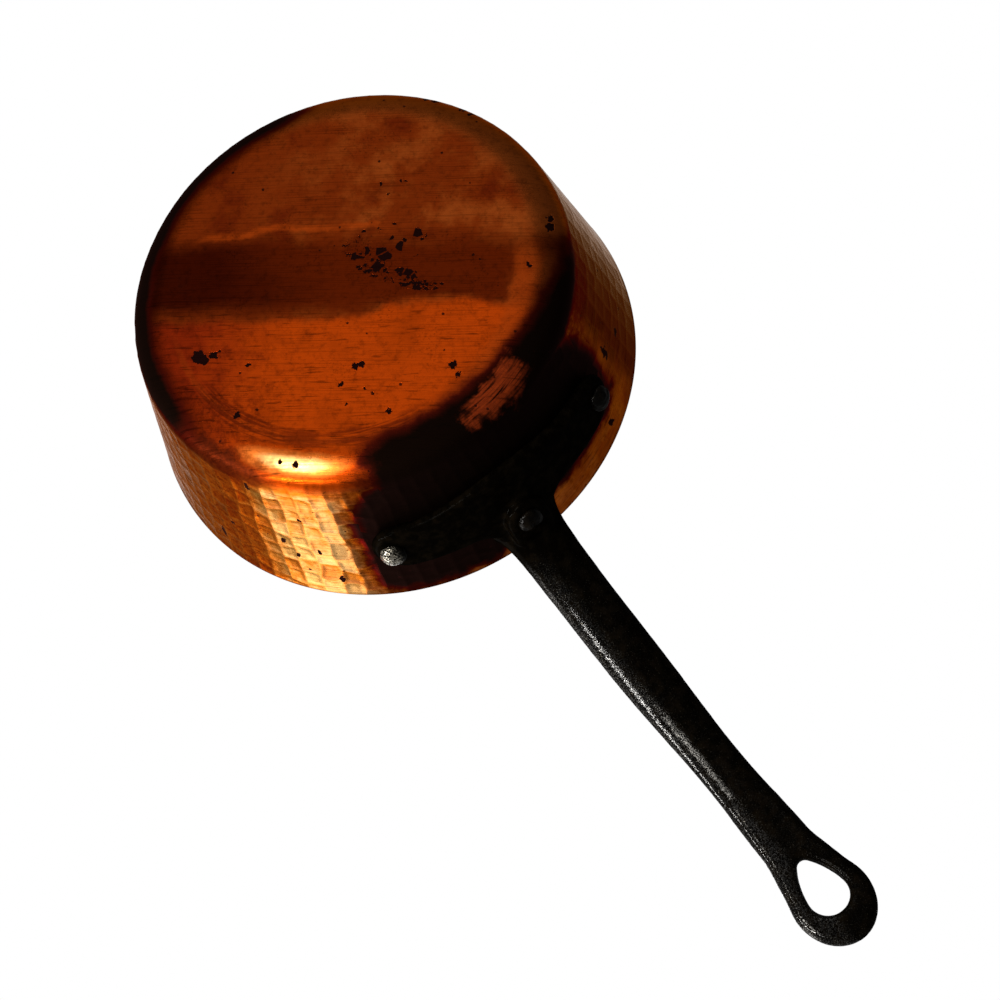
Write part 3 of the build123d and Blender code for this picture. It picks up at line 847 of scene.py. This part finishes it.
def rivetTree():
    tree, wire = newTree("rivet", {
        "Place": "Vector", "Turn": "Vector", "Seat": "Float", "Sheet": "Float", "Shank Radius": "Float",
        "Outer Radius": "Float", "Outer Height": "Float", "Inner Radius": "Float", "Inner Height": "Float",
        "Dent": "Float", "Dent Size": "Float", "Iron": "Material",
    })
    counts = {"Vertices X": rivet["around"], "Vertices Y": rivet["alongProfile"]}
    grid = wire.make("GeometryNodeMeshGrid", {"Size X": 1.0, "Size Y": 1.0, **counts})
    place = wire.make("GeometryNodeInputPosition")
    turn = (wire.make("ShaderNodeSeparateXYZ", {0: place}, out=0) + 0.5) * (2 * pi)
    path = wire.make("ShaderNodeSeparateXYZ", {0: place}, out=1) + 0.5

    def stretch(low, high):  # how far along one stretch of the profile a point is, 0 to 1
        return wire.make("ShaderNodeMapRange", {"Value": path, "From Min": low, "From Max": high})

    dome = stretch(0.0, 0.4) * (pi / 2)
    button = stretch(0.7, 1.0) * (pi / 2)
    shank = given(wire, "Shank Radius")
    outer = given(wire, "Outer Radius")
    inner = given(wire, "Inner Radius")
    radius = outer * wire.sum("SINE", dome) - (outer - shank) * stretch(0.4, 0.45)
    radius = radius + (inner - shank) * stretch(0.65, 0.7)
    radius = radius - inner * (1 - wire.sum("COSINE", button))
    height = given(wire, "Outer Height") * wire.sum("COSINE", dome) + given(wire, "Seat")
    height = height - (given(wire, "Seat") + given(wire, "Sheet")) * stretch(0.45, 0.65)
    height = height - given(wire, "Inner Height") * wire.sum("SINE", button)
    spot = vector(radius * wire.sum("COSINE", turn), radius * wire.sum("SINE", turn), height)
    shape = wire.make("GeometryNodeSetPosition", {0: grid, "Position": spot})
    shape = wire.make("GeometryNodeMergeByDistance", {0: shape, "Distance": 0.002 * mm})
    shape = wire.make("GeometryNodeFlipFaces", {0: shape})
    dents = noise(wire.make("GeometryNodeInputPosition"), 1 / given(wire, "Dent Size"), 1, 0.5)
    depth = smooth(dents, 0.35, 0.7) * given(wire, "Dent")
    inward = scaled(wire.make("GeometryNodeInputNormal"), depth * -1)
    shape = wire.make("GeometryNodeSetPosition", {0: shape, "Offset": inward})
    shape = wire.make("GeometryNodeSetShadeSmooth", {0: shape})
    turned = wire.make("FunctionNodeEulerToRotation", {0: given(wire, "Turn")})
    point = wire.make("GeometryNodePoints", {"Count": 1, "Position": given(wire, "Place")})
    placing = {"Points": point, "Instance": shape, "Rotation": turned}
    shape = wire.make("GeometryNodeInstanceOnPoints", placing)
    shape = wire.make("GeometryNodeRealizeInstances", {0: shape})
    shape = wire.make("GeometryNodeSetMaterial", {0: shape, "Material": given(wire, "Iron")})
    endTree(wire, shape)
    return tree


def wallFrame(azimuth, height):  # foot on the wall's outer face, and the direction out of it
    lean = radians(pan["lean"])
    turn = radians(azimuth)
    out = Vector((cos(turn) * cos(lean), sin(turn) * cos(lean), -sin(lean)))
    foot = Vector((wallRadius(height) * cos(turn), wallRadius(height) * sin(turn), height)) * mm
    return foot, out


def makeRivets(iron):
    tree = rivetTree()
    pieces = {}
    for name, (node, azimuth, height, seat) in rivetPlaces.items():
        foot, out = wallFrame(azimuth, height)
        piece = newPiece(name, bpy.data.meshes.new(name))
        pieces[node] = runTree(piece, tree, {
            "Place": tuple(foot), "Turn": tuple(out.to_track_quat("Z", "Y").to_euler()), "Seat": seat * mm,
            "Sheet": rivet["sheet"] * mm, "Shank Radius": rivet["shankRadius"] * mm,
            "Outer Radius": rivet["outerRadius"] * mm, "Outer Height": rivet["outerHeight"] * mm,
            "Inner Radius": rivet["innerRadius"] * mm, "Inner Height": rivet["innerHeight"] * mm,
            "Dent": rivet["dent"] * mm, "Dent Size": rivet["dentSize"] * mm, "Iron": iron,
        })
    return pieces


def makeFloor():
    mesh = bpy.data.meshes.new("floor")
    shape = bmesh.new()
    inner = (patina["flatRadius"] - studio["floorOverlap"]) * mm
    sides = studio["floorSides"]
    turns = [2 * pi * i / sides for i in range(sides)]
    rings = []
    for radius in (inner, studio["floorReach"]):
        ring = [shape.verts.new((radius * cos(a), radius * sin(a), -studio["floorDrop"])) for a in turns]
        rings.append(ring)
    for i in range(sides):
        j = (i + 1) % sides
        shape.faces.new((rings[0][i], rings[1][i], rings[1][j], rings[0][j]))
    shape.to_mesh(mesh)
    shape.free()
    floor = newPiece("floor", mesh)
    material, wire = newMaterial("floor")
    rays = ("Is Camera Ray", "Is Glossy Ray", "Is Transmission Ray")
    straight, glossy, through = [wire.make("ShaderNodeLightPath", out=ray) for ray in rays]
    here = wire.make("ShaderNodeTexCoord", out="Object")
    reach = wire.make("ShaderNodeVectorMath", {0: here}, {"operation": "LENGTH"}, out="Value")
    mirrored = (glossy + through) * smooth(reach, studio["mirrorFrom"], studio["mirrorTo"])
    fromAbove = 1 - wire.make("ShaderNodeNewGeometry", out="Backfacing")
    seen = wire.sum("MINIMUM", straight + mirrored, 1.0) * fromAbove
    clear = wire.make("ShaderNodeBsdfTransparent")
    pale = wire.make("ShaderNodeBsdfDiffuse", {"Color": studio["floorTone"]})
    finish(wire, wire.make("ShaderNodeMixShader", {0: seen, 1: clear, 2: pale}))
    mesh.materials.append(material)


def makeWorld():
    world = bpy.data.worlds.new("studio")
    bpy.context.scene.world = world
    world.use_nodes = True
    world.node_tree.nodes.clear()
    wire = Wire(world.node_tree)
    way = wire.make("ShaderNodeTexCoord", out="Generated")
    rise = wire.make("ShaderNodeSeparateXYZ", {0: way}, out=2)
    sight = (Vector(view["aim"]) - Vector(view["eye"])).normalized()
    towards = vectorMath("DOT_PRODUCT", way, tuple(sight), out="Value")
    side = radians(studio["sideAzimuth"])
    facing = vectorMath("DOT_PRODUCT", way, (cos(side), sin(side), 0), out="Value")
    level = mixValue(smooth(rise, -0.4, 0.5), studio["below"], studio["above"])
    level = level + facing * studio["sideGain"]
    opening = smooth(towards, cos(radians(studio["openingEnd"])), cos(radians(studio["openingFull"])))
    strength = mixValue(opening, level, 1.0)
    light = wire.make("ShaderNodeBackground", {"Color": (1, 1, 1, 1), "Strength": strength})
    node = wire.tree.nodes.new("ShaderNodeOutputWorld")
    wire.tree.links.new(light.socket, node.inputs["Surface"])


def makeLights():
    for name, box in softBoxes.items():
        target = Vector((0, 0, box["rise"] if box["upright"] else 0.04))
        lamp = bpy.data.lights.new(name, "AREA")
        lamp.shape = "ELLIPSE"
        lamp.size, lamp.size_y = box["size"]
        lamp.energy = box["glow"] * pi * lamp.size * lamp.size_y * (pi / 4)
        lamp.color = box["warmth"]
        turn = radians(box["azimuth"])
        light = bpy.data.objects.new(name, lamp)
        light.location = (box["distance"] * cos(turn), box["distance"] * sin(turn), box["rise"])
        roll = Quaternion((0, 0, 1), radians(box["roll"]))
        light.rotation_euler = ((target - light.location).to_track_quat("-Z", "Y") @ roll).to_euler()
        light.visible_camera = False
        bpy.context.collection.objects.link(light)


def makeCamera():
    camera = bpy.data.objects.new("camera", bpy.data.cameras.new("camera"))
    camera.data.lens = view["lens"]
    camera.data.sensor_width = view["sensor"]
    camera.location = view["eye"]
    sight = Vector(view["aim"]) - Vector(view["eye"])
    roll = Quaternion((0, 0, 1), radians(view["turn"]))
    camera.rotation_euler = (sight.to_track_quat("-Z", "Y") @ roll).to_euler()
    bpy.context.collection.objects.link(camera)
    bpy.context.scene.camera = camera


makeCamera()
makeWorld()
makeLights()
makeFloor()
print("studio ready")

panPiece = makePan(copperOutside(), copperInside())
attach(panPiece, "root")
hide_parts("pan_body")
print("pan body planished:", len(panPiece.data.polygons), "faces")

handlePiece = makeHandle(ironSkin("blackIron", handleIron))
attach(handlePiece, "root")
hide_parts("handle")
print("handle cast:", len(handlePiece.data.polygons), "faces")

for node, piece in makeRivets(ironSkin("wearAndGlintIron", rivetIron)).items():
    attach(piece, "root")
    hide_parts(node)
    print("rivet set:", node, len(piece.data.polygons), "faces")

bpy.context.scene.view_settings.view_transform = "Standard"
